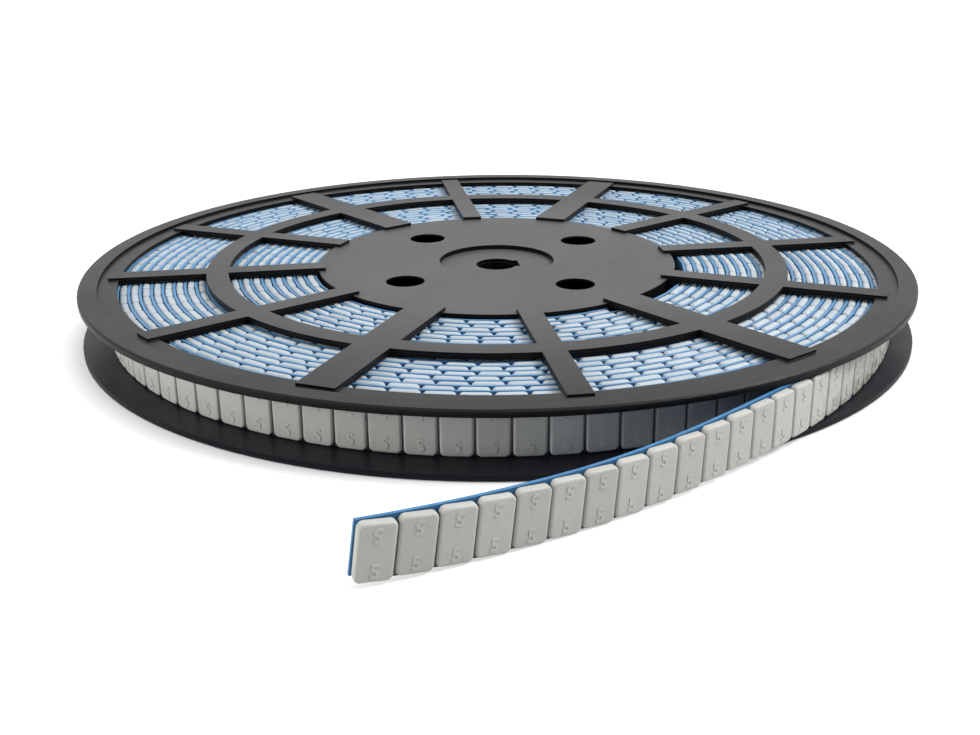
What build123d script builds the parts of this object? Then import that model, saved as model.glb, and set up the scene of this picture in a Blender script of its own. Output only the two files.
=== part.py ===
"""Reel of adhesive wheel balance weights.

Two spoked flanges sit on a hub core. A strip of small steel weights on foam
tape is wound between them, and its outer end has been pulled off and stands on
the floor in front. Millimetres, +Z up. The origin is on the spindle axis,
half way between the flanges.
"""
import os
from math import atan2, cos, degrees, floor, pi, radians, sin, sqrt

from build123d import *

# Flanges
FLANGE_R = 175.0
PLATE_T = 1.5
HUB_T = 1.0
RIB_RISE = 1.0
LIP_RISE = 1.2
LIP_WIDTH = 7.7
LIP_EDGE_BEVEL = 0.7
BAND_WIDTH = 7.7
MID_RING_WIDTH = 9.2
MID_RING_OFFSET = 1.0
HUB_LAP = 0.4
SPOKE_COUNT = 12
WIDE_SPOKES = (2, 4, 8, 10)
WIDE_SPOKE = 14.5
NARROW_SPOKE = 9.0
SPOKE_ANGLE = 0.7
SPOKE_HUB_LAP = 3.0
SPOKE_BAND_LAP = 4.2

# Hub features shared by the flanges and the core
BORE_R = 8.8
KEY_WIDTH = 9.0
KEY_DEPTH = 0.9
DISH_R = 24.9
DISH_DEPTH = 2.0
DISH_WALL = 1.5
DRIVE_HOLE_R = 8.0
DRIVE_HOLE_PCD = 99.0
DRIVE_HOLE_COUNT = 4
DRIVE_HOLE_ANGLE = 31.9

# Hub core
CORE_R = 76.8
CORE_WALL = 2.0
SLEEVE_WALL = 2.5
WEB_T = 1.6
SPIGOT_CLEARANCE = 0.1

# Strip of weights
WEIGHT_LENGTH = 11.0
WEIGHT_HEIGHT = 18.0
WEIGHT_T = 3.2
WEIGHT_CORNER = 1.3
WEIGHT_BEVEL = 0.8
WEIGHT_GAP = 0.5
TAPE_T = 1.2
TAPE_RISE = 0.25
TAPE_FOOT = 1.35
TURN_SLACK = 0.1
CORE_SLACK = 0.1
STRIP_CLEARANCE = 0.1
STRIP_HEADROOM = 0.9
ROLL_INSET = 11.4

# Pulled-off tail of the strip
TAIL_COUNT = 22
TAIL_START_ANGLE = -34.8
TAIL_BEND_FIRST = 2.55
TAIL_BEND_LAST = 1.3
TAIL_DROP_SHARE = 0.55
TAIL_LEAN = 5.0
TAIL_TILT = 6.5
TAIL_END_LIFT = 1.0
TAIL_SEAT = 0.12
TAIL_TAPE_OVERHANG = 0.2
FLOOR_CLEARANCE = 0.05

# Worked out from the sizes above
TAPE_WIDTH = WEIGHT_HEIGHT + TAPE_RISE - TAPE_FOOT
FLANGE_Z = (STRIP_CLEARANCE + WEIGHT_HEIGHT + STRIP_HEADROOM) / 2
FLANGE_T = PLATE_T + LIP_RISE
FLOOR_Z = -FLANGE_Z - FLANGE_T
BAND_R = FLANGE_R - LIP_WIDTH
WINDOW_R = BAND_R - BAND_WIDTH
HUB_R = CORE_R + HUB_LAP
MID_RING_R = (HUB_R + WINDOW_R + MID_RING_WIDTH) / 2 + MID_RING_OFFSET
DISH_OUTER_R = DISH_R + DISH_WALL
DISH_FLOOR_Z = HUB_T - DISH_DEPTH
DISH_UNDER_Z = DISH_FLOOR_Z - DISH_WALL
WEIGHT_PITCH = WEIGHT_LENGTH + WEIGHT_GAP
TURN_PITCH = WEIGHT_T + TAPE_T + TURN_SLACK
TURN_COUNT = floor(2 * pi * (FLANGE_R - ROLL_INSET - TURN_PITCH / 2) / WEIGHT_PITCH)
LAST_TURN_R = TURN_COUNT * WEIGHT_PITCH / (2 * pi) + TURN_PITCH / 2
STRIP_BOTTOM_Z = STRIP_CLEARANCE - FLANGE_Z


def ring(outer, inner):
    """Flat ring between two radii."""
    return Circle(outer) - Circle(inner)


def spokes():
    """Outline of the straight bars that join hub, middle ring and rim."""
    inner = HUB_R - SPOKE_HUB_LAP
    outer = WINDOW_R + SPOKE_BAND_LAP
    bars = []
    for index in range(SPOKE_COUNT):
        width = WIDE_SPOKE if index in WIDE_SPOKES else NARROW_SPOKE
        bar = Pos((inner + outer) / 2, 0) * Rectangle(outer - inner, width)
        bars.append(Rot(0, 0, SPOKE_ANGLE + index * 360 / SPOKE_COUNT) * bar)
    return Sketch() + bars


def drive_holes(radius):
    """Discs of one radius at the four drive holes."""
    places = PolarLocations(DRIVE_HOLE_PCD / 2, DRIVE_HOLE_COUNT, start_angle=DRIVE_HOLE_ANGLE)
    return Sketch() + [place * Circle(radius) for place in places]


def spindle_hole():
    """Round spindle hole with its key notch towards +X."""
    return Circle(BORE_R) + Pos(BORE_R / 2, 0) * Rectangle(BORE_R + 2 * KEY_DEPTH, KEY_WIDTH)


def make_flange():
    """One flange moulding, inner face on z = 0, outer side up."""
    bars = spokes()
    mid_ring = ring(MID_RING_R, MID_RING_R - MID_RING_WIDTH)
    rim = ring(FLANGE_R, WINDOW_R)
    plate = extrude(rim + mid_ring + bars, PLATE_T) + extrude(Circle(HUB_R), HUB_T)
    ribs = Pos(0, 0, PLATE_T) * extrude(mid_ring + bars, RIB_RISE)
    lip = Pos(0, 0, PLATE_T) * extrude(ring(FLANGE_R, BAND_R), LIP_RISE)
    dish = Pos(0, 0, DISH_UNDER_Z) * extrude(Circle(DISH_OUTER_R), -DISH_UNDER_Z)
    flange = plate + ribs + lip + dish
    lip_edges = flange.edges().filter_by(GeomType.CIRCLE).group_by(Axis.Z)[-1]
    flange = chamfer(lip_edges.sort_by(SortBy.RADIUS)[-1], LIP_EDGE_BEVEL)
    flange -= Pos(0, 0, DISH_FLOOR_Z) * extrude(Circle(DISH_R), DISH_DEPTH)
    flange -= Pos(0, 0, DISH_UNDER_Z) * extrude(spindle_hole(), DISH_WALL)
    flange -= extrude(drive_holes(DRIVE_HOLE_R), HUB_T)
    return flange


def webs(inner, outer):
    """Radial webs of the core between two radii, midway between the drive holes."""
    bar = Pos((inner + outer) / 2, 0) * Rectangle(outer - inner, WEB_T)
    step = 360 / DRIVE_HOLE_COUNT
    first = DRIVE_HOLE_ANGLE + step / 2
    return Sketch() + [Rot(0, 0, first + index * step) * bar for index in range(DRIVE_HOLE_COUNT)]


def make_core():
    """Hub core: drum and spindle sleeve joined by webs, stepped where the dishes locate."""
    dish_seat_r = DISH_OUTER_R + SPIGOT_CLEARANCE
    drum = ring(CORE_R, CORE_R - CORE_WALL)
    rim_part = extrude(drum + webs(dish_seat_r, CORE_R - CORE_WALL / 2), FLANGE_Z, both=True)
    sleeve = Circle(BORE_R + KEY_DEPTH + SLEEVE_WALL)
    sleeve_webs = webs(BORE_R + KEY_DEPTH, dish_seat_r + SLEEVE_WALL)
    middle_part = extrude(sleeve + sleeve_webs - spindle_hole(), FLANGE_Z + DISH_UNDER_Z, both=True)
    return rim_part + middle_part


def make_weight(corner):
    """One weight: tape face on z = 0, length along x, height along y."""
    outline = Rectangle(WEIGHT_LENGTH, WEIGHT_HEIGHT)
    if corner:
        outline = chamfer(outline.vertices(), corner)
    weight = extrude(outline, WEIGHT_T)
    return chamfer(weight.faces().sort_by(Axis.Z)[-1].edges(), WEIGHT_BEVEL)


def turn_gap(index):
    """Gap point of the last full turn, on the outer face of its tape."""
    length = index * WEIGHT_PITCH
    angle = 2 * pi / TURN_PITCH * (LAST_TURN_R - sqrt(LAST_TURN_R**2 - TURN_PITCH * length / pi))
    radius = LAST_TURN_R - TURN_PITCH * angle / (2 * pi)
    direction = radians(TAIL_START_ANGLE) + angle
    return Vector(radius * cos(direction), radius * sin(direction))


def tail_headings():
    """Direction of each tail weight, in degrees, bending less and less towards the free end."""
    last_chord = turn_gap(0) - turn_gap(1)
    heading = degrees(atan2(last_chord.Y, last_chord.X))
    easing = (TAIL_BEND_FIRST - TAIL_BEND_LAST) / (TAIL_COUNT - 1)
    headings = []
    for index in range(TAIL_COUNT):
        heading -= TAIL_BEND_FIRST - easing * index
        headings.append(heading)
    return headings


def tail_plan():
    """Gap points of the tail seen from above, on the outer face of its tape."""
    points = [turn_gap(0)]
    for heading in tail_headings():
        step = Vector(cos(radians(heading)), sin(radians(heading))) * WEIGHT_PITCH
        points.append(points[-1] + step)
    return points


def tail_free(index):
    """Share of the free tail passed at a gap: 0 over the lower flange, 1 at the free end."""
    over_flange = sum(1 for point in tail_plan() if point.length - TAPE_T < FLANGE_R)
    free_count = max(1, TAIL_COUNT - over_flange)
    return max(0.0, (index - over_flange) / free_count)


def tail_lean(index):
    """Outward lean of the strip at a gap, in degrees."""
    return TAIL_LEAN * tail_free(index)


def tail_tilt(index):
    """Tilt of the weights in the strip's own face at a gap, in degrees, tops towards the roll."""
    return TAIL_TILT * tail_free(index)


def tail_bottom(index):
    """Height of the weights' lower edge at a gap: down to the floor, then up a little at the end."""
    free = tail_free(index)
    drop = min(1.0, free / TAIL_DROP_SHARE)
    ease = drop * drop * (3 - 2 * drop)
    lift = TAIL_END_LIFT * max(0.0, (free - TAIL_DROP_SHARE) / (1 - TAIL_DROP_SHARE)) ** 2
    outer_edge = WEIGHT_T * sin(radians(tail_lean(index)))
    low_corner = WEIGHT_LENGTH / 2 * sin(radians(tail_tilt(index)))
    landed = FLOOR_Z + FLOOR_CLEARANCE + outer_edge + low_corner + lift
    return STRIP_BOTTOM_Z + (landed - STRIP_BOTTOM_Z) * ease


def tail_gaps():
    """Gap points of the tail, on the tape's outer face at the weights' lower edge."""
    return [point + Vector(0, 0, tail_bottom(index)) for index, point in enumerate(tail_plan())]


def strip_plane(origin, heading, lean=0.0, tilt=0.0):
    """Plane on the tape's outer face: x back along the strip, y up it, z outwards."""
    along = Vector(-cos(radians(heading)), -sin(radians(heading)), 0)
    outward = Vector(-sin(radians(heading)), cos(radians(heading)), 0) * cos(radians(lean))
    upright = Plane(origin, x_dir=along, z_dir=outward - Vector(0, 0, sin(radians(lean))))
    back = along * cos(radians(tilt)) - upright.y_dir * sin(radians(tilt))
    return Plane(origin, x_dir=back, z_dir=upright.z_dir)


def make_wound_roll():
    """All wound turns as one body, faceted outside where the last turn's weights sit."""
    corners = [turn_gap(index) for index in range(TURN_COUNT + 1)]
    outline = make_face(Polyline(*corners, close=True))
    outline -= Circle(CORE_R + CORE_SLACK)
    return Pos(0, 0, STRIP_BOTTOM_Z) * extrude(outline, WEIGHT_HEIGHT)


def make_outer_turn_weights():
    """The last full turn's weights, each flat on its own facet of the roll."""
    weight = make_weight(corner=0)
    placed = []
    for index in range(TURN_COUNT):
        start, end = turn_gap(index + 1), turn_gap(index)
        chord = end - start
        heading = degrees(atan2(chord.Y, chord.X))
        foot = (start + end) * 0.5 + Vector(0, 0, STRIP_BOTTOM_Z)
        plane = strip_plane(foot, heading)
        placed.append(plane.location * Pos(0, WEIGHT_HEIGHT / 2) * weight)
    return Compound(children=placed)


def make_tail_tape():
    """Tape ribbon of the tail, ruled from gap to gap, with a short bare end."""
    gaps = tail_gaps()
    headings = tail_headings()
    before = [headings[0] + TAIL_BEND_FIRST] + headings
    sections = []
    for index in range(TAIL_COUNT):
        heading = (before[index] + headings[index]) / 2
        sections.append(strip_plane(gaps[index], heading, tail_lean(index), tail_tilt(index)))
    free_end = strip_plane(gaps[-1], headings[-1], tail_lean(TAIL_COUNT), tail_tilt(TAIL_COUNT))
    free_end.origin -= free_end.x_dir * TAIL_TAPE_OVERHANG
    sections.append(free_end)
    faces = []
    for plane in sections:
        cross = Plane(plane.origin, x_dir=plane.y_dir, z_dir=plane.x_dir)
        faces.append(cross * (Pos(TAPE_FOOT + TAPE_WIDTH / 2, -TAPE_T / 2) * Rectangle(TAPE_WIDTH, TAPE_T)))
    return loft(faces, ruled=True)


def make_tail_weight(weight, index):
    """One weight of the tail, midway between two gaps."""
    gaps = tail_gaps()
    middle = (gaps[index] + gaps[index + 1]) * 0.5
    lean = (tail_lean(index) + tail_lean(index + 1)) / 2
    tilt = (tail_tilt(index) + tail_tilt(index + 1)) / 2
    plane = strip_plane(middle, tail_headings()[index], lean, tilt)
    return plane.location * Pos(0, WEIGHT_HEIGHT / 2, TAIL_SEAT) * weight


def build_parts():
    """Every node of the reel by name."""
    flange = make_flange()
    upper = Pos(0, 0, FLANGE_Z) * flange
    weight = make_weight(WEIGHT_CORNER)
    parts = {
        "upper_flange": upper,
        "lower_flange": mirror(upper, about=Plane.XY),
        "hub_core": make_core(),
        "wound_roll": make_wound_roll(),
        "outer_turn_weights": make_outer_turn_weights(),
        "tail_tape": make_tail_tape(),
    }
    for index in range(TAIL_COUNT):
        parts[f"tail_weight_{index + 1:02d}"] = make_tail_weight(weight, index)
    return parts


os.makedirs("parts", exist_ok=True)
for name, shape in build_parts().items():
    export_step(shape, f"parts/{name}.step")
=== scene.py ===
"""Looks of the reel of adhesive wheel balance weights: pieces, materials, floor, light and camera."""

import math

import bpy
import numpy as np
from mathutils import Euler, Matrix, Vector


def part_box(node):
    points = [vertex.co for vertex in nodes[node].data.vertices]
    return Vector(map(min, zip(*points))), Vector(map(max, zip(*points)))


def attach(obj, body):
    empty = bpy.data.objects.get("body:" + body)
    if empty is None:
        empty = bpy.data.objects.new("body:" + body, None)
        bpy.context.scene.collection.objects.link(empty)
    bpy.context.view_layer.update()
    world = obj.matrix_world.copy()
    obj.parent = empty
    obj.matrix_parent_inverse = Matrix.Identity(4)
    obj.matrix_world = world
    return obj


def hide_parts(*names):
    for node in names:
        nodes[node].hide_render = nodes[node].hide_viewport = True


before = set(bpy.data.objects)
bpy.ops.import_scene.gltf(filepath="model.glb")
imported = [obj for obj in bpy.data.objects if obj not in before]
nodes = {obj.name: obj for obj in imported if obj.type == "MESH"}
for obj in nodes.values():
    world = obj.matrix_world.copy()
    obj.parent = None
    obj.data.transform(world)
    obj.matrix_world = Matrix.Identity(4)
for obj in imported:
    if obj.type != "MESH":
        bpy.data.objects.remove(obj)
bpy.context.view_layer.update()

# Driving dimensions of the strip, in metres and degrees
WEIGHT_LENGTH = 0.0110
WEIGHT_HEIGHT = 0.0180
WEIGHT_T = 0.0032
WEIGHT_GAP = 0.0005
TAPE_T = 0.0012
TURN_SLACK = 0.0001
TURN_COUNT = 88
TAIL_COUNT = 22
TAIL_START_ANGLE = -34.8

# Height of the flange's raised rim over its plate
LIP_RISE = 0.0012

# Rounding of one weight: the wound ones have smaller corners and rounder edges
CORNER_R = 0.0019
WORN_CORNER_R = 0.0015
EDGE_R = 0.0008
WORN_EDGE_R = 0.0011
LEAST_CORNER_SHARE = 0.15
FLAT_START_SHARE = 1.5

# Raised numeral near both ends of a weight's outer face
MARK = "5"
MARK_SIZE = 0.0060
MARK_BOLD = 0.00014
MARK_STEPS = 2
MARK_RISE = 0.00024
MARK_SINK = 0.00004
MARK_SPREAD = WEIGHT_HEIGHT * 0.30
FACE_T = WEIGHT_T - MARK_RISE + MARK_SINK

# Tape of the wound turns: how far its edges lie above those of a weight, and how its top is eased
TAPE_LIFT = 0.00002
TAPE_RISE = 0.00002
TAPE_EASE = TAPE_T * 0.16

# Dark pads in the gaps between weights, painted shade: short of the weights' tops on the tail, past them on
# the last turn
GAP_SHADE_LIFT = 0.0002
TAIL_GAP_SHADE_RISE = -0.0015
TAIL_GAP_SHADE_DEPTHS = (-0.00008, 0.00190)
TURN_GAP_SHADE_RISE = 0.0004
TURN_GAP_SHADE_DEPTHS = (0.0021, 0.0024)
PAD_FACES = ((3, 2, 1, 0), (4, 5, 6, 7), (0, 1, 5, 4), (1, 2, 6, 5), (2, 3, 7, 6), (3, 0, 4, 7))

# Small irregularities of the wound strip, and how much of them its last turn and the turns inside it show
SEED = 7
SWAY_TILT = 0.9
SWAY_RISE = 0.00030
SWAY_SHIFT = 0.00004
LAST_TURN_SWAY = 0.35
INNER_SWAY = 1.0

# Pieces that hold the weights inside the last turn, from the outside in
ROLL_PARTS = ("outer", "middle", "inner")

# Edges: angles from which they stay sharp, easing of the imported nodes, and limits for joining their faces
MESH_SHARP_ANGLE = 35
NODE_SHARP_ANGLE = 38
FLANGE_EASE = 0.00028
CORE_EASE = 0.00022
TAIL_TAPE_EASE = 0.00016
EASE_SEGMENTS = 2
WELD_REACH = 1e-6
FLAT_JOIN_ANGLE = 0.4

# Sizes worked out from those above and from the frame
WEIGHT_PITCH = WEIGHT_LENGTH + WEIGHT_GAP
TURN_PITCH = WEIGHT_T + TAPE_T + TURN_SLACK
LAST_TURN_R = TURN_COUNT * WEIGHT_PITCH / (2 * math.pi) + TURN_PITCH / 2
STRIP_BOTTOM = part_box("wound_roll")[0].z
STRIP_TOP = STRIP_BOTTOM + WEIGHT_HEIGHT
CORE_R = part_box("hub_core")[1].x
RIM_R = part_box("upper_flange")[1].x
LEDGE_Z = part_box("upper_flange")[1].z - LIP_RISE

# In the looks below, a noise is scale and detail, a bump depth and strength, a span or fade a range
WHITE = (1.0, 1.0, 1.0)

# Black plastic: colours of the plate, the lower flange (paler and cooler, painted reflected light), painted
# highlights on edges, and the hub (paler partly for its matt finish, partly as painted sheen)
PLATE_LOW = (0.0028, 0.0028, 0.0031)
PLATE_HIGH = (0.0046, 0.0045, 0.0046)
UNDER_REFLECTION_COLOUR = (0.0085, 0.0078, 0.0130)
EDGE_HIGHLIGHT_COLOUR = (0.014, 0.014, 0.015)
HUB_MATT_AND_SHEEN_COLOUR = (0.058, 0.058, 0.0575)

# Black plastic: what counts as flat, slanted, wall, ledge, hub and lower flange; slanted faces and a line
# on the walls at ledge height get a painted highlight
FLAT_SPAN = (0.70, 0.95)
SLANT_START = (0.10, 0.30)
SLANT_END = (0.93, 0.97)
WALL_SPAN = (0.05, 0.30)
LEDGE_HIGHLIGHT_FADE = (0.00006, 0.00016)
HUB_FADE = (CORE_R * 0.95, RIM_R * 0.95)
UNDER_FADE = (-0.006, 0.006)

# Black plastic: concentric streaks, clouds and grain, and how they and the hub change gloss and roughness
STREAK_FINENESS = 60.0
STREAK_NOISE = (9.0, 3.0)
STREAK_SPAN = (0.3, 0.7)
STREAK_SHEEN = (0.90, 1.10)
CLOUD_NOISE = (26.0, 4.0)
CLOUD_SPAN = (0.35, 0.65)
GLOSS_SPAN = (0.30, 0.70)
PLASTIC_ROUGHNESS = (0.36, 0.44)
HUB_ROUGHNESS = 0.10
BASE_SHEEN = 0.08
FLAT_SHEEN = 0.20
HUB_SHEEN = 0.16
UNDER_SHEEN = 0.70
GRAIN_NOISE = (2600.0, 2.0)
GRAIN_BUMP = (0.00006, 0.25)

# Blue tape: the liner's main colour, its streaks, and where its face for the weights starts and its painted
# shade deepens
TAPE_BLUE = (0.055, 0.205, 0.410)
TAPE_NOISE = (420.0, 3.0)
TAPE_SPAN = (0.35, 0.65)
TAPE_BUMP = (0.00008, 0.3)
TAPE_ROUGHNESS = 0.5
SEAT_FACING = (0.55, 0.65)
SEAT_SHADE_FADE = (STRIP_TOP - 0.0035, STRIP_TOP - 0.0010)

# Blue tape and the dark gap pads: two tones of the liner, then the face for the weights, near its top and
# deep down, set darker than the liner as painted shade in the gaps between weights
TAIL_FACE_SHADE = (0.030, 0.130, 0.290)
TAIL_TAPE_COLOURS = ((0.036, 0.160, 0.345), TAPE_BLUE, TAIL_FACE_SHADE, TAIL_FACE_SHADE)
WOUND_LINER = ((0.075, 0.225, 0.420), (0.105, 0.270, 0.480))
WOUND_FACE_SHADES = ((0.026, 0.105, 0.230), (0.008, 0.028, 0.065))
# Dark gap pads: painted shade, dark all over
GAP_SHADE_FACE = (0.010, 0.013, 0.018)
GAP_SHADE_COLOURS = ((0.008, 0.012, 0.018), (0.010, 0.015, 0.022), GAP_SHADE_FACE, GAP_SHADE_FACE)

# Powder coat: lowest and highest tone, blue light from the tape and dirt, outside and on the wound weights;
# the wound weights' tones are set bluer and darker, as painted light from the tape and painted shade under
# the flanges
OUTSIDE_TONES = ((0.430, 0.428, 0.392), (0.480, 0.479, 0.446))
OUTSIDE_BOUNCE = 0.0
OUTSIDE_DIRT = 0.90
WOUND_SHADED_TONES = ((0.385, 0.436, 0.470), (0.462, 0.512, 0.545))
WOUND_BOUNCE = 0.15
WOUND_DIRT = 0.0

# Powder coat: a warmer hue, blue light near the tape, and the paler tops of the raised numerals
WARM_SHARES = (1.022, 1.0, 1.005)
BLUE_REACH = WEIGHT_T * 0.6
MARK_COLOUR = (0.62, 0.615, 0.59)
MARK_SHARE = 0.18
MARK_FADE = (FACE_T + 0.00004, FACE_T + 0.00012)

# Powder coat: stains towards the feet of the weights on the reel's right, from these x on
STAIN_COLOUR = (0.235, 0.232, 0.195)
STAIN_NOISE = (330.0, 6.0)
STAIN_SPAN = (0.48, 0.55)
STAIN_REACH = (0.070, 0.120)
FOOT_FADE = (WEIGHT_HEIGHT / 2, -WEIGHT_HEIGHT / 3)

# Powder coat: specks, uneven gloss, fine orange peel and wider waves
SPECK_COLOUR = (0.95, 0.95, 0.95)
SPECK_NOISE = (900.0, 4.0)
SPECK_SPAN = (0.40, 0.62)
COAT_NOISE = (300.0, 2.0)
COAT_SPAN = (0.3, 0.7)
COAT_ROUGHNESS = (0.46, 0.60)
PEEL_NOISE = (1500.0, 2.0)
PEEL_BUMP = (0.00005, 0.22)
WAVE_NOISE = (320.0, 2.0)
WAVE_BUMP = (0.00010, 0.25)

# Floor: grey, size, and a glow in two steps that set in at two distances from the reel's middle; without
# the glow near the reel the floor there is darker, partly its real shadow showing and partly painted shade
FLOOR_GREY = (0.62, 0.62, 0.62)
NEAR_GLOW = 0.55
NEAR_GLOW_FADE = (0.165, 0.185)
FAR_GLOW = 0.40
FAR_GLOW_FADE = (0.26, 0.90)
FLOOR_SIZE = 16.0
FLOOR_MIDDLE_Y = 3.0

# Light: strength of the dome low down and high up, the heights between them, and two square lights
DOME_STRENGTH = (0.05, 1.15)
DOME_RISE = (0.45, 0.85)
KEY_PLACE = (1.15, -0.30, 1.20)
KEY_SIZE = 0.8
KEY_POWER = 28.5
FILL_PLACE = (-1.25, -0.32, 0.30)
FILL_SIZE = 0.7
FILL_POWER = 12.5

# Camera: place, turn in degrees and lens in millimetres
CAMERA_PLACE = (-0.07565, -0.50616, 0.15282)
CAMERA_TURN = (69.363, 0.461, -8.309)
CAMERA_LENS = 44.44
SENSOR_WIDTH = 36.0
CLIP_START = 0.01

random = np.random.default_rng(SEED)


# Meshes

def outline(corner_r, inset, depth, steps):
    """Rounded rectangle of a weight, drawn in by inset, at one depth from the tape."""
    radius = max(corner_r - inset, corner_r * LEAST_CORNER_SHARE)
    half_x = WEIGHT_LENGTH / 2 - inset - radius
    half_y = WEIGHT_HEIGHT / 2 - inset - radius
    points = []
    for corner, (side_x, side_y) in enumerate(((1, 1), (-1, 1), (-1, -1), (1, -1))):
        for step in range(steps + 1):
            angle = math.radians(90 * corner + 90 * step / steps)
            x = side_x * half_x + radius * math.cos(angle)
            y = side_y * half_y + radius * math.sin(angle)
            points.append((x, y, depth))
    return points


def weight_shape(corner_r, edge_r, corner_steps, edge_steps):
    """Points and faces of one weight: x along the strip, y up it, z out from the tape."""
    angles = [math.radians(90 * step / edge_steps) for step in range(edge_steps + 1)]
    layers = []
    for angle in angles:
        layers.append((edge_r * (1 - math.sin(angle)), edge_r * (1 - math.cos(angle))))
    for angle in angles:
        layers.append((edge_r * (1 - math.cos(angle)), FACE_T - edge_r * (1 - math.sin(angle))))
    layers.append((edge_r * FLAT_START_SHARE, FACE_T))
    points = []
    for inset, depth in layers:
        points += outline(corner_r, inset, depth, corner_steps)
    count = 4 * (corner_steps + 1)
    faces = [tuple(reversed(range(count)))]
    for layer in range(len(layers) - 1):
        low = layer * count
        high = low + count
        for index in range(count):
            following = (index + 1) % count
            faces.append((low + index, low + following, high + following, high + index))
    faces.append(tuple(range((len(layers) - 1) * count, len(layers) * count)))
    return np.array(points), faces


def numeral_shape():
    """Points and faces of a raised plain numeral, centred on its own middle, lying on z = 0."""
    curve = bpy.data.curves.new("numeral", "FONT")
    curve.body = MARK
    curve.size = MARK_SIZE
    curve.offset = MARK_BOLD
    curve.align_x = "CENTER"
    curve.align_y = "CENTER"
    curve.resolution_u = MARK_STEPS
    curve.extrude = MARK_RISE / 2
    made = bpy.data.objects.new("numeral", curve)
    bpy.context.scene.collection.objects.link(made)
    bpy.context.view_layer.update()
    mesh = bpy.data.meshes.new_from_object(made.evaluated_get(bpy.context.evaluated_depsgraph_get()))
    points = np.array([vertex.co[:] for vertex in mesh.vertices])
    faces = [tuple(face.vertices) for face in mesh.polygons]
    bpy.data.objects.remove(made)
    bpy.data.curves.remove(curve)
    bpy.data.meshes.remove(mesh)
    points -= (points.min(0) + points.max(0)) / 2
    points[:, 2] += MARK_RISE / 2
    return points, faces


def marked(shape, numeral):
    """A weight with the numeral near both ends of its outer face, the upper one upside down."""
    points, faces = shape
    for turn in (1, -1):
        first = len(points)
        place = np.array([0.0, turn * MARK_SPREAD, FACE_T - MARK_SINK])
        points = np.vstack([points, numeral[0] * np.array([-turn, -turn, 1.0]) + place])
        faces = faces + [tuple(first + index for index in face) for face in numeral[1]]
    return points, faces


def mesh_object(name, points, faces):
    """A new object in the scene, shaded smooth between its sharp edges."""
    mesh = bpy.data.meshes.new(name)
    mesh.from_pydata(points, [], faces)
    mesh.update()
    made = bpy.data.objects.new(name, mesh)
    bpy.context.scene.collection.objects.link(made)
    mesh.shade_smooth()
    mesh.set_sharp_from_angle(angle=math.radians(MESH_SHARP_ANGLE))
    return made


def weights_object(name, shape, places):
    """All weights of one piece in one mesh, each with its own tone, warmth and coordinates."""
    points, faces = shape
    count = len(points)
    turns = np.array([np.array(place.to_3x3()) for place in places])
    feet = np.array([place.translation[:] for place in places])
    spots = np.einsum("nij,vj->nvi", turns, points) + feet[:, None, :]
    all_faces = []
    for index in range(len(places)):
        first = index * count
        all_faces += [tuple(first + corner for corner in face) for face in faces]
    made = mesh_object(name, spots.reshape(-1, 3), all_faces)
    for kind in ("tone", "warmth"):
        values = made.data.attributes.new(kind, "FLOAT", "POINT")
        values.data.foreach_set("value", np.repeat(random.random(len(places)), count))
    own = made.data.attributes.new("own", "FLOAT_VECTOR", "POINT")
    own.data.foreach_set("vector", np.tile(points, (len(places), 1)).ravel())
    return made


def turn_gap(index):
    """Gap point of the wound strip on its tape's outer face, counted inwards from the tail."""
    length = index * WEIGHT_PITCH
    radius = math.sqrt(LAST_TURN_R**2 - TURN_PITCH * length / math.pi)
    angle = 2 * math.pi / TURN_PITCH * (LAST_TURN_R - radius)
    direction = math.radians(TAIL_START_ANGLE) + angle
    return Vector((radius * math.cos(direction), radius * math.sin(direction), 0))


def wound_places(first, last, sway):
    """Frames of the wound weights from one index to another, more uneven the larger sway is."""
    places = []
    up = Vector((0, 0, 1))
    for index in range(first, last):
        start, end = turn_gap(index + 1), turn_gap(index)
        along = (start - end).normalized()
        outward = Vector((-along.y, along.x, 0))
        if outward.dot(start) < 0:
            outward = -outward
        middle = (start + end) / 2
        middle.z = STRIP_BOTTOM + WEIGHT_HEIGHT / 2 + sway * SWAY_RISE * random.random()
        middle += outward * sway * SWAY_SHIFT * random.uniform(-1, 1)
        turn = Matrix((up.cross(outward), up, outward)).transposed()
        tilts = [math.radians(sway * SWAY_TILT * random.uniform(-1, 1)) for axis in range(3)]
        places.append(Matrix.Translation(middle) @ (turn @ Euler(tilts).to_matrix()).to_4x4())
    return places


def node_place(name):
    """Frame of one packed tail weight, from the directions in which it is longest and shortest."""
    points = np.array([vertex.co[:] for vertex in nodes[name].data.vertices])
    axes = np.linalg.svd(points - points.mean(0), full_matrices=False)[2]
    order = np.argsort([np.ptp(points @ axis) for axis in axes])
    centre = Vector()
    for axis in axes:
        reach = points @ axis
        centre += Vector(axis) * float(reach.max() + reach.min()) / 2
    up = Vector(axes[order[2]])
    if up.z < 0:
        up = -up
    outward = Vector(axes[order[0]])
    if outward.xy.dot(centre.xy) < 0:
        outward = -outward
    turn = Matrix((up.cross(outward), up, outward)).transposed()
    return Matrix.Translation(centre - outward * WEIGHT_T / 2) @ turn.to_4x4()


def tape_object(name, first, last):
    """Wound tape between two gaps as one ribbon with eased upper edges."""
    bottom = STRIP_BOTTOM + TAPE_LIFT
    top = STRIP_TOP + TAPE_RISE
    outer = ((0, bottom), (0, top - TAPE_EASE), (-TAPE_EASE, top))
    inner = ((-TAPE_T + TAPE_EASE, top), (-TAPE_T, top - TAPE_EASE), (-TAPE_T, bottom))
    section = outer + inner
    count = len(section)
    points, faces = [], []
    for index in range(first, last + 1):
        gap = turn_gap(index)
        outward = gap.normalized()
        for depth, height in section:
            points.append(gap + outward * depth + Vector((0, 0, height)))
    for index in range(last - first):
        low = index * count
        high = low + count
        for corner in range(count):
            following = (corner + 1) % count
            faces.append((low + corner, high + corner, high + following, low + following))
    faces.append(tuple(range(count)))
    faces.append(tuple(reversed(range((last - first) * count, (last - first + 1) * count))))
    return mesh_object(name, points, faces)


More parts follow.
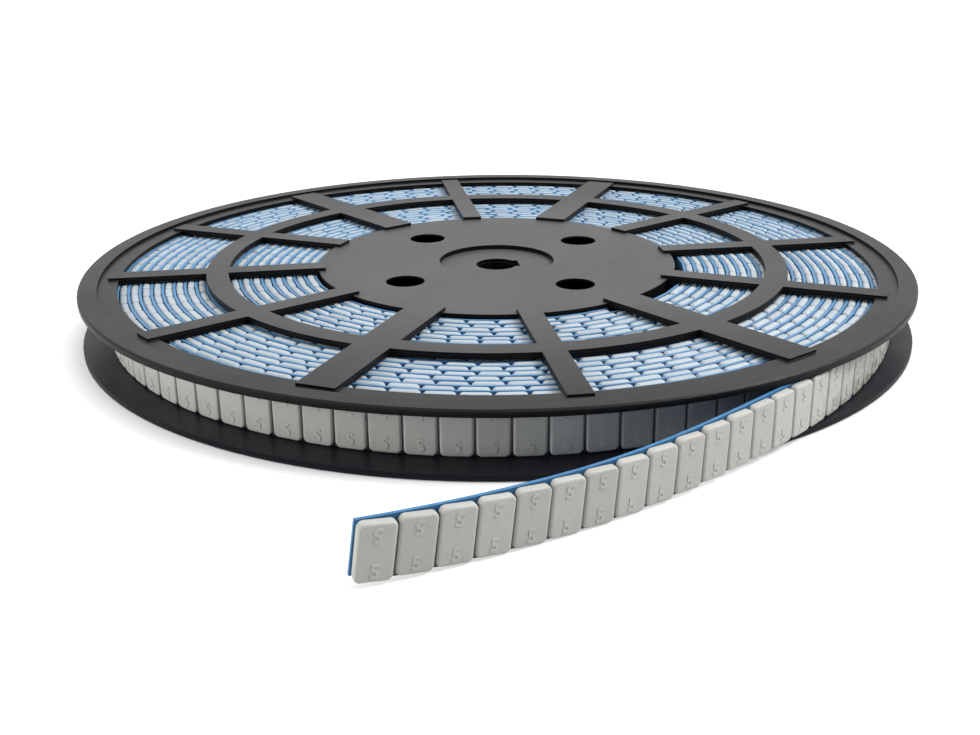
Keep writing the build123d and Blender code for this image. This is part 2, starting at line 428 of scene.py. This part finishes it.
def gap_shade_object(name, places, rise, depths):
    """Dark pads in the gaps between the weights that stand in for shade, one pad in each gap as wide as the
    rounded corners.
    """
    half = WEIGHT_GAP / 2 + CORNER_R
    low = GAP_SHADE_LIFT - WEIGHT_HEIGHT / 2
    high = WEIGHT_HEIGHT / 2 + rise
    points, faces = [], []
    for place, following in zip(places, places[1:]):
        first = len(points)
        middle = (place.translation + following.translation) / 2
        up = (place.col[1].xyz + following.col[1].xyz).normalized()
        outward = (place.col[2].xyz + following.col[2].xyz).normalized()
        along = up.cross(outward)
        for depth in depths:
            for x, y in ((-half, low), (half, low), (half, high), (-half, high)):
                points.append(middle + along * x + up * y + outward * depth)
        for face in PAD_FACES:
            faces.append(tuple(first + corner for corner in face))
    return mesh_object(name, points, faces)


# Shader nodes

class ShaderTree:
    """Nodes of a material or a world: most calls add one node and return one of its outputs."""

    def __init__(self, tree):
        self.tree = tree

    def add(self, kind):
        return self.tree.nodes.new("ShaderNode" + kind)

    def feed(self, socket, value):
        """Give a socket another node's output, a plain colour or a number."""
        if isinstance(value, bpy.types.NodeSocket):
            self.tree.links.new(value, socket)
        elif isinstance(value, tuple):
            socket.default_value = (*value, 1.0)
        else:
            socket.default_value = value

    def place(self):
        return self.add("TexCoord").outputs["Object"]

    def true_normal(self):
        return self.add("NewGeometry").outputs["True Normal"]

    def attribute(self, name, output):
        made = self.add("Attribute")
        made.attribute_name = name
        return made.outputs[output]

    def split(self, vector):
        """The x, y and z of a vector."""
        made = self.add("SeparateXYZ")
        self.feed(made.inputs[0], vector)
        return made.outputs[0], made.outputs[1], made.outputs[2]

    def join(self, *parts):
        """A vector of x, y and z."""
        made = self.add("CombineXYZ")
        for socket, part in zip(made.inputs, parts):
            self.feed(socket, part)
        return made.outputs[0]

    def maths(self, kind, first, second=None):
        made = self.add("Math")
        made.operation = kind
        self.feed(made.inputs[0], first)
        if second is not None:
            self.feed(made.inputs[1], second)
        return made.outputs[0]

    def plus(self, first, second):
        return self.maths("ADD", first, second)

    def minus(self, first, second):
        return self.maths("SUBTRACT", first, second)

    def times(self, first, second):
        return self.maths("MULTIPLY", first, second)

    def larger(self, first, second):
        return self.maths("MAXIMUM", first, second)

    def unsigned(self, value):
        return self.maths("ABSOLUTE", value)

    def vector_maths(self, kind, output, first, second=None):
        made = self.add("VectorMath")
        made.operation = kind
        self.feed(made.inputs[0], first)
        if second is not None:
            self.feed(made.inputs[1], second)
        return made.outputs[output]

    def remap(self, value, low, high, out_low=0.0, out_high=1.0):
        """The value carried from one range to another and kept inside it."""
        made = self.add("MapRange")
        self.feed(made.inputs["Value"], value)
        self.feed(made.inputs["From Min"], low)
        self.feed(made.inputs["From Max"], high)
        self.feed(made.inputs["To Min"], out_low)
        self.feed(made.inputs["To Max"], out_high)
        return made.outputs[0]

    def mix(self, share, first, second, blend="MIX"):
        """Mix of two colours, each an output or a plain colour."""
        made = self.add("Mix")
        made.data_type = "RGBA"
        made.blend_type = blend
        self.feed(made.inputs[0], share)
        self.feed(made.inputs[6], first)
        self.feed(made.inputs[7], second)
        return made.outputs[2]

    def noise(self, where, scale, detail):
        made = self.add("TexNoise")
        self.feed(made.inputs["Vector"], where)
        self.feed(made.inputs["Scale"], scale)
        self.feed(made.inputs["Detail"], detail)
        return made.outputs[0]

    def bump(self, height, depth, strength, normal=None):
        made = self.add("Bump")
        self.feed(made.inputs["Height"], height)
        self.feed(made.inputs["Distance"], depth)
        self.feed(made.inputs["Strength"], strength)
        if normal is not None:
            self.feed(made.inputs["Normal"], normal)
        return made.outputs[0]

    def bright_rays(self):
        """1 for rays that carry the picture or a mirror image, 0 for those that only light."""
        path = self.add("LightPath").outputs
        seen = self.larger(path["Is Camera Ray"], path["Is Glossy Ray"])
        return self.larger(seen, path["Is Transmission Ray"])


def fresh(name):
    """A new material, its nodes and its main shader."""
    material = bpy.data.materials.new(name)
    material.use_nodes = True
    return material, ShaderTree(material.node_tree), material.node_tree.nodes["Principled BSDF"]


# Materials

def plastic():
    """Black moulded plastic: fine grain, cloudy gloss, painted highlights on edges, a paler cooler lower
    flange as painted reflected light, and flat faces paler towards a matt hub, partly its finish and partly
    painted sheen.
    """
    material, tree, shader = fresh("flange_plastic")
    where = tree.place()
    x, y, z = tree.split(where)
    radius = tree.maths("SQRT", tree.plus(tree.times(x, x), tree.times(y, y)))
    lean = tree.unsigned(tree.split(tree.true_normal())[2])
    flat = tree.remap(lean, *FLAT_SPAN)
    slanted = tree.times(tree.remap(lean, *SLANT_START), tree.remap(lean, *SLANT_END, 1.0, 0.0))
    wall = tree.remap(lean, *WALL_SPAN, 1.0, 0.0)
    off_ledge = tree.unsigned(tree.minus(tree.unsigned(z), LEDGE_Z))
    ledge_highlight = tree.times(wall, tree.remap(off_ledge, *LEDGE_HIGHLIGHT_FADE, 1.0, 0.0))
    hub = tree.times(flat, tree.remap(radius, *HUB_FADE, 1.0, 0.0))
    under = tree.remap(z, *UNDER_FADE, 1.0, 0.0)

    across = tree.times(radius, STREAK_FINENESS)
    around = tree.maths("ARCTAN2", y, x)
    streak = tree.noise(tree.join(across, around, tree.times(z, STREAK_FINENESS)), *STREAK_NOISE)
    cloud = tree.noise(where, *CLOUD_NOISE)

    colour = tree.mix(tree.remap(cloud, *CLOUD_SPAN), PLATE_LOW, PLATE_HIGH)
    # Painted reflected light: the lower flange paler and cooler than the upper
    colour = tree.mix(under, colour, UNDER_REFLECTION_COLOUR)
    # Painted highlight on slanted edge faces and along the walls at ledge height
    colour = tree.mix(tree.larger(slanted, ledge_highlight), colour, EDGE_HIGHLIGHT_COLOUR)
    # Flat faces paler towards the hub: partly a matt finish, partly painted sheen
    tree.feed(shader.inputs["Base Color"], tree.mix(hub, colour, HUB_MATT_AND_SHEEN_COLOUR))

    sheen = tree.plus(tree.times(flat, FLAT_SHEEN), tree.times(hub, HUB_SHEEN))
    sheen = tree.plus(sheen, BASE_SHEEN)
    sheen = tree.times(sheen, tree.remap(streak, *STREAK_SPAN, *STREAK_SHEEN))
    sheen = tree.times(sheen, tree.remap(under, 0.0, 1.0, 1.0, UNDER_SHEEN))
    tree.feed(shader.inputs["Specular IOR Level"], sheen)

    roughness = tree.remap(cloud, *GLOSS_SPAN, *PLASTIC_ROUGHNESS)
    roughness = tree.plus(roughness, tree.times(hub, HUB_ROUGHNESS))
    tree.feed(shader.inputs["Roughness"], roughness)
    grain = tree.noise(where, *GRAIN_NOISE)
    tree.feed(shader.inputs["Normal"], tree.bump(grain, *GRAIN_BUMP))
    return material


def tape(name, low, high, face, deep_shade):
    """Tape or dark gap pads: a streaky liner, and a face for the weights with painted shade that deepens
    below the roll's top.
    """
    material, tree, shader = fresh(name)
    where = tree.place()
    streak = tree.noise(where, *TAPE_NOISE)
    liner = tree.mix(tree.remap(streak, *TAPE_SPAN), low, high)
    outward = tree.vector_maths("NORMALIZE", "Vector", where)
    facing = tree.vector_maths("DOT_PRODUCT", "Value", outward, tree.true_normal())
    height = tree.split(where)[2]
    # Painted shade: the face for the weights darker than the liner, darker still deep in the roll
    seat_shade = tree.mix(tree.remap(height, *SEAT_SHADE_FADE), deep_shade, face)
    colour = tree.mix(tree.remap(facing, *SEAT_FACING), liner, seat_shade)
    tree.feed(shader.inputs["Base Color"], colour)
    tree.feed(shader.inputs["Roughness"], TAPE_ROUGHNESS)
    tree.feed(shader.inputs["Normal"], tree.bump(streak, *TAPE_BUMP))
    return material


def coating(name, low, high, bounce, dirt):
    """Grey powder coat: every weight a little different, bluer next to its tape, with a fine skin."""
    material, tree, shader = fresh(name)
    where = tree.place()
    own = tree.attribute("own", "Vector")
    right = tree.split(where)[0]
    height, depth = tree.split(own)[1:]

    warm = tuple(part * share for part, share in zip(low, WARM_SHARES))
    colour = tree.mix(tree.attribute("warmth", "Fac"), low, warm)
    colour = tree.mix(tree.attribute("tone", "Fac"), colour, high)
    colour = tree.mix(tree.remap(depth, 0.0, BLUE_REACH, bounce, 0.0), colour, TAPE_BLUE)
    colour = tree.mix(tree.remap(depth, *MARK_FADE, 0.0, MARK_SHARE), colour, MARK_COLOUR)

    foot = tree.times(tree.remap(height, *FOOT_FADE), tree.remap(right, *STAIN_REACH, 0.0, dirt))
    stain = tree.remap(tree.noise(where, *STAIN_NOISE), *STAIN_SPAN)
    colour = tree.mix(tree.times(foot, stain), colour, STAIN_COLOUR)
    speck = tree.remap(tree.noise(where, *SPECK_NOISE), *SPECK_SPAN)
    colour = tree.mix(1.0, colour, tree.mix(speck, SPECK_COLOUR, WHITE), "MULTIPLY")
    tree.feed(shader.inputs["Base Color"], colour)

    roughness = tree.remap(tree.noise(own, *COAT_NOISE), *COAT_SPAN, *COAT_ROUGHNESS)
    tree.feed(shader.inputs["Roughness"], roughness)
    peel = tree.bump(tree.noise(where, *PEEL_NOISE), *PEEL_BUMP)
    waves = tree.bump(tree.noise(where, *WAVE_NOISE), *WAVE_BUMP, peel)
    tree.feed(shader.inputs["Normal"], waves)
    return material


def floor_white():
    """Pale matt floor that reads as white and still takes a shadow."""
    material, tree, shader = fresh("floor_white")
    material.node_tree.nodes.remove(shader)
    matt = tree.add("BsdfDiffuse")
    tree.feed(matt.inputs["Color"], FLOOR_GREY)
    position = tree.add("NewGeometry").outputs["Position"]
    distance = tree.vector_maths("LENGTH", "Value", position)
    # Glow left out under the reel and faded in past its rim: a darker ring round the reel, partly real
    # shadow and partly painted shade
    near = tree.remap(distance, *NEAR_GLOW_FADE, 0.0, NEAR_GLOW)
    far = tree.remap(distance, *FAR_GLOW_FADE, 0.0, FAR_GLOW)
    glow = tree.add("Emission")
    tree.feed(glow.inputs["Strength"], tree.times(tree.bright_rays(), tree.plus(near, far)))
    both = tree.add("AddShader")
    tree.feed(both.inputs[0], matt.outputs[0])
    tree.feed(both.inputs[1], glow.outputs[0])
    tree.feed(material.node_tree.nodes["Material Output"].inputs["Surface"], both.outputs[0])
    return material


# Light

def studio():
    """White surroundings that give their light mostly from high up."""
    world = bpy.data.worlds.new("studio")
    bpy.context.scene.world = world
    world.use_nodes = True
    tree = ShaderTree(world.node_tree)
    sky = world.node_tree.nodes["Background"]
    tree.feed(sky.inputs["Color"], WHITE)
    seen = tree.bright_rays()
    height = tree.split(tree.add("TexCoord").outputs["Generated"])[2]
    dome = tree.times(tree.minus(1.0, seen), tree.remap(height, *DOME_RISE, *DOME_STRENGTH))
    tree.feed(sky.inputs["Strength"], tree.plus(seen, dome))


def area_light(name, place, size, power, mirrored):
    """Square light aimed at the middle of the reel; surfaces mirror it only where mirrored is set."""
    light = bpy.data.lights.new(name, "AREA")
    light.size = size
    light.energy = power
    made = bpy.data.objects.new(name, light)
    made.location = place
    made.visible_glossy = mirrored
    made.rotation_euler = (-Vector(place)).to_track_quat("-Z", "Y").to_euler()
    bpy.context.scene.collection.objects.link(made)


# Pieces

def smooth_group():
    """Shading group: smooth faces, with edges sharper than a limit kept hard."""
    group = bpy.data.node_groups.new("smooth_by_angle", "GeometryNodeTree")
    group.interface.new_socket("Geometry", in_out="INPUT", socket_type="NodeSocketGeometry")
    group.interface.new_socket("Geometry", in_out="OUTPUT", socket_type="NodeSocketGeometry")
    entry = group.nodes.new("NodeGroupInput")
    result = group.nodes.new("NodeGroupOutput")
    faces = group.nodes.new("GeometryNodeSetShadeSmooth")
    edges = group.nodes.new("GeometryNodeSetShadeSmooth")
    edges.domain = "EDGE"
    angle = group.nodes.new("GeometryNodeInputMeshEdgeAngle")
    flat = group.nodes.new("FunctionNodeCompare")
    flat.operation = "LESS_THAN"
    flat.inputs[1].default_value = math.radians(NODE_SHARP_ANGLE)
    group.links.new(angle.outputs[0], flat.inputs[0])
    group.links.new(entry.outputs[0], faces.inputs[0])
    group.links.new(faces.outputs[0], edges.inputs[0])
    group.links.new(flat.outputs[0], edges.inputs["Shade Smooth"])
    group.links.new(edges.outputs[0], result.inputs[0])
    return group


def finish_node(name, material, bevel, group):
    """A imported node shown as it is, with eased edges and its material."""
    piece = nodes[name]
    piece.data.materials.clear()
    piece.data.materials.append(material)
    weld = piece.modifiers.new("weld", "WELD")
    weld.merge_threshold = WELD_REACH
    clean = piece.modifiers.new("clean", "DECIMATE")
    clean.decimate_type = "DISSOLVE"
    clean.angle_limit = math.radians(FLAT_JOIN_ANGLE)
    ease = piece.modifiers.new("ease", "BEVEL")
    ease.width = bevel
    ease.segments = EASE_SEGMENTS
    ease.limit_method = "ANGLE"
    ease.angle_limit = math.radians(NODE_SHARP_ANGLE)
    shade = piece.modifiers.new("shade", "NODES")
    shade.node_group = group
    normals = piece.modifiers.new("normals", "WEIGHTED_NORMAL")
    normals.keep_sharp = True


def add_piece(piece, material, slot, *stands_for):
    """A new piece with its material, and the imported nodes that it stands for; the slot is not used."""
    piece.data.materials.append(material)
    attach(piece, "root")
    if stands_for:
        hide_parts(*stands_for)


# Materials of this reel
black = plastic()
blue = tape("tape_foam", *TAIL_TAPE_COLOURS)
wound_blue = tape("wound_tape", *WOUND_LINER, *WOUND_FACE_SHADES)
# Material of the dark gap pads: painted shade
gap_shade = tape("tail_gap_shade", *GAP_SHADE_COLOURS)
grey = coating("weight_coating", *OUTSIDE_TONES, OUTSIDE_BOUNCE, OUTSIDE_DIRT)
# The wound weights' coat: tones set bluer and darker, painted light from the tape and painted shade under
# the flanges
wound_shaded_coat = coating("wound_strip", *WOUND_SHADED_TONES, WOUND_BOUNCE, WOUND_DIRT)

# Both flanges, the core and the tail's tape, as packed
group = smooth_group()
finish_node("upper_flange", black, FLANGE_EASE, group)
finish_node("lower_flange", black, FLANGE_EASE, group)
finish_node("hub_core", black, CORE_EASE, group)
finish_node("tail_tape", blue, TAIL_TAPE_EASE, group)

# Last turn of the roll
plain = weight_shape(WORN_CORNER_R, WORN_EDGE_R, corner_steps=4, edge_steps=3)
fine = marked(weight_shape(CORNER_R, EDGE_R, corner_steps=5, edge_steps=4), numeral_shape())
turn_places = wound_places(0, TURN_COUNT, LAST_TURN_SWAY)
turn_weights = weights_object("outer_turn_weights_fine", fine, turn_places)
add_piece(turn_weights, grey, "weight_coating", "outer_turn_weights")
# Dark pads in the last turn's gaps: painted shade
turn_gap_shade = gap_shade_object("outer_turn_gap_shade", turn_places, TURN_GAP_SHADE_RISE, TURN_GAP_SHADE_DEPTHS)
add_piece(turn_gap_shade, gap_shade, "wound_strip")

# Turns inside it, in three parts, and the tape of all turns
wound_length = math.pi * (LAST_TURN_R**2 - (CORE_R + TAPE_T + TURN_SLACK) ** 2) / TURN_PITCH
wound_count = math.floor(wound_length / WEIGHT_PITCH)
inside_count = wound_count - TURN_COUNT
ends = [TURN_COUNT + inside_count * part // len(ROLL_PARTS) for part in range(len(ROLL_PARTS) + 1)]
for part, first, last in zip(ROLL_PARTS, ends, ends[1:]):
    wound_weights = weights_object(f"wound_weights_{part}", plain, wound_places(first, last, INNER_SWAY))
    add_piece(wound_weights, wound_shaded_coat, "wound_strip", "wound_roll")
add_piece(tape_object("wound_tape", 0, wound_count), wound_blue, "wound_strip", "wound_roll")

# Weights of the pulled-off tail, and dark pads in their gaps as painted shade
tail_names = [f"tail_weight_{number:02d}" for number in range(1, TAIL_COUNT + 1)]
tail_places = [node_place(name) for name in tail_names]
add_piece(weights_object("tail_weights_fine", fine, tail_places), grey, "weight_coating", *tail_names)
add_piece(gap_shade_object("tail_gap_shade", tail_places, TAIL_GAP_SHADE_RISE, TAIL_GAP_SHADE_DEPTHS), gap_shade, "tape_foam")

# Floor
floor_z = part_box("lower_flange")[0].z
bpy.ops.mesh.primitive_plane_add(size=FLOOR_SIZE, location=(0, FLOOR_MIDDLE_Y, floor_z))
floor = bpy.context.active_object
floor.name = "floor"
floor.data.materials.append(floor_white())

# Surroundings and lights
studio()
area_light("key", KEY_PLACE, KEY_SIZE, KEY_POWER, mirrored=True)
area_light("fill", FILL_PLACE, FILL_SIZE, FILL_POWER, mirrored=False)

# Camera
camera = bpy.data.objects.new("camera", bpy.data.cameras.new("camera"))
bpy.context.scene.collection.objects.link(camera)
camera.location = CAMERA_PLACE
camera.rotation_euler = [math.radians(angle) for angle in CAMERA_TURN]
camera.data.sensor_width = SENSOR_WIDTH
camera.data.lens = CAMERA_LENS
camera.data.clip_start = CLIP_START
bpy.context.scene.camera = camera
bpy.context.scene.view_settings.view_transform = "Standard"
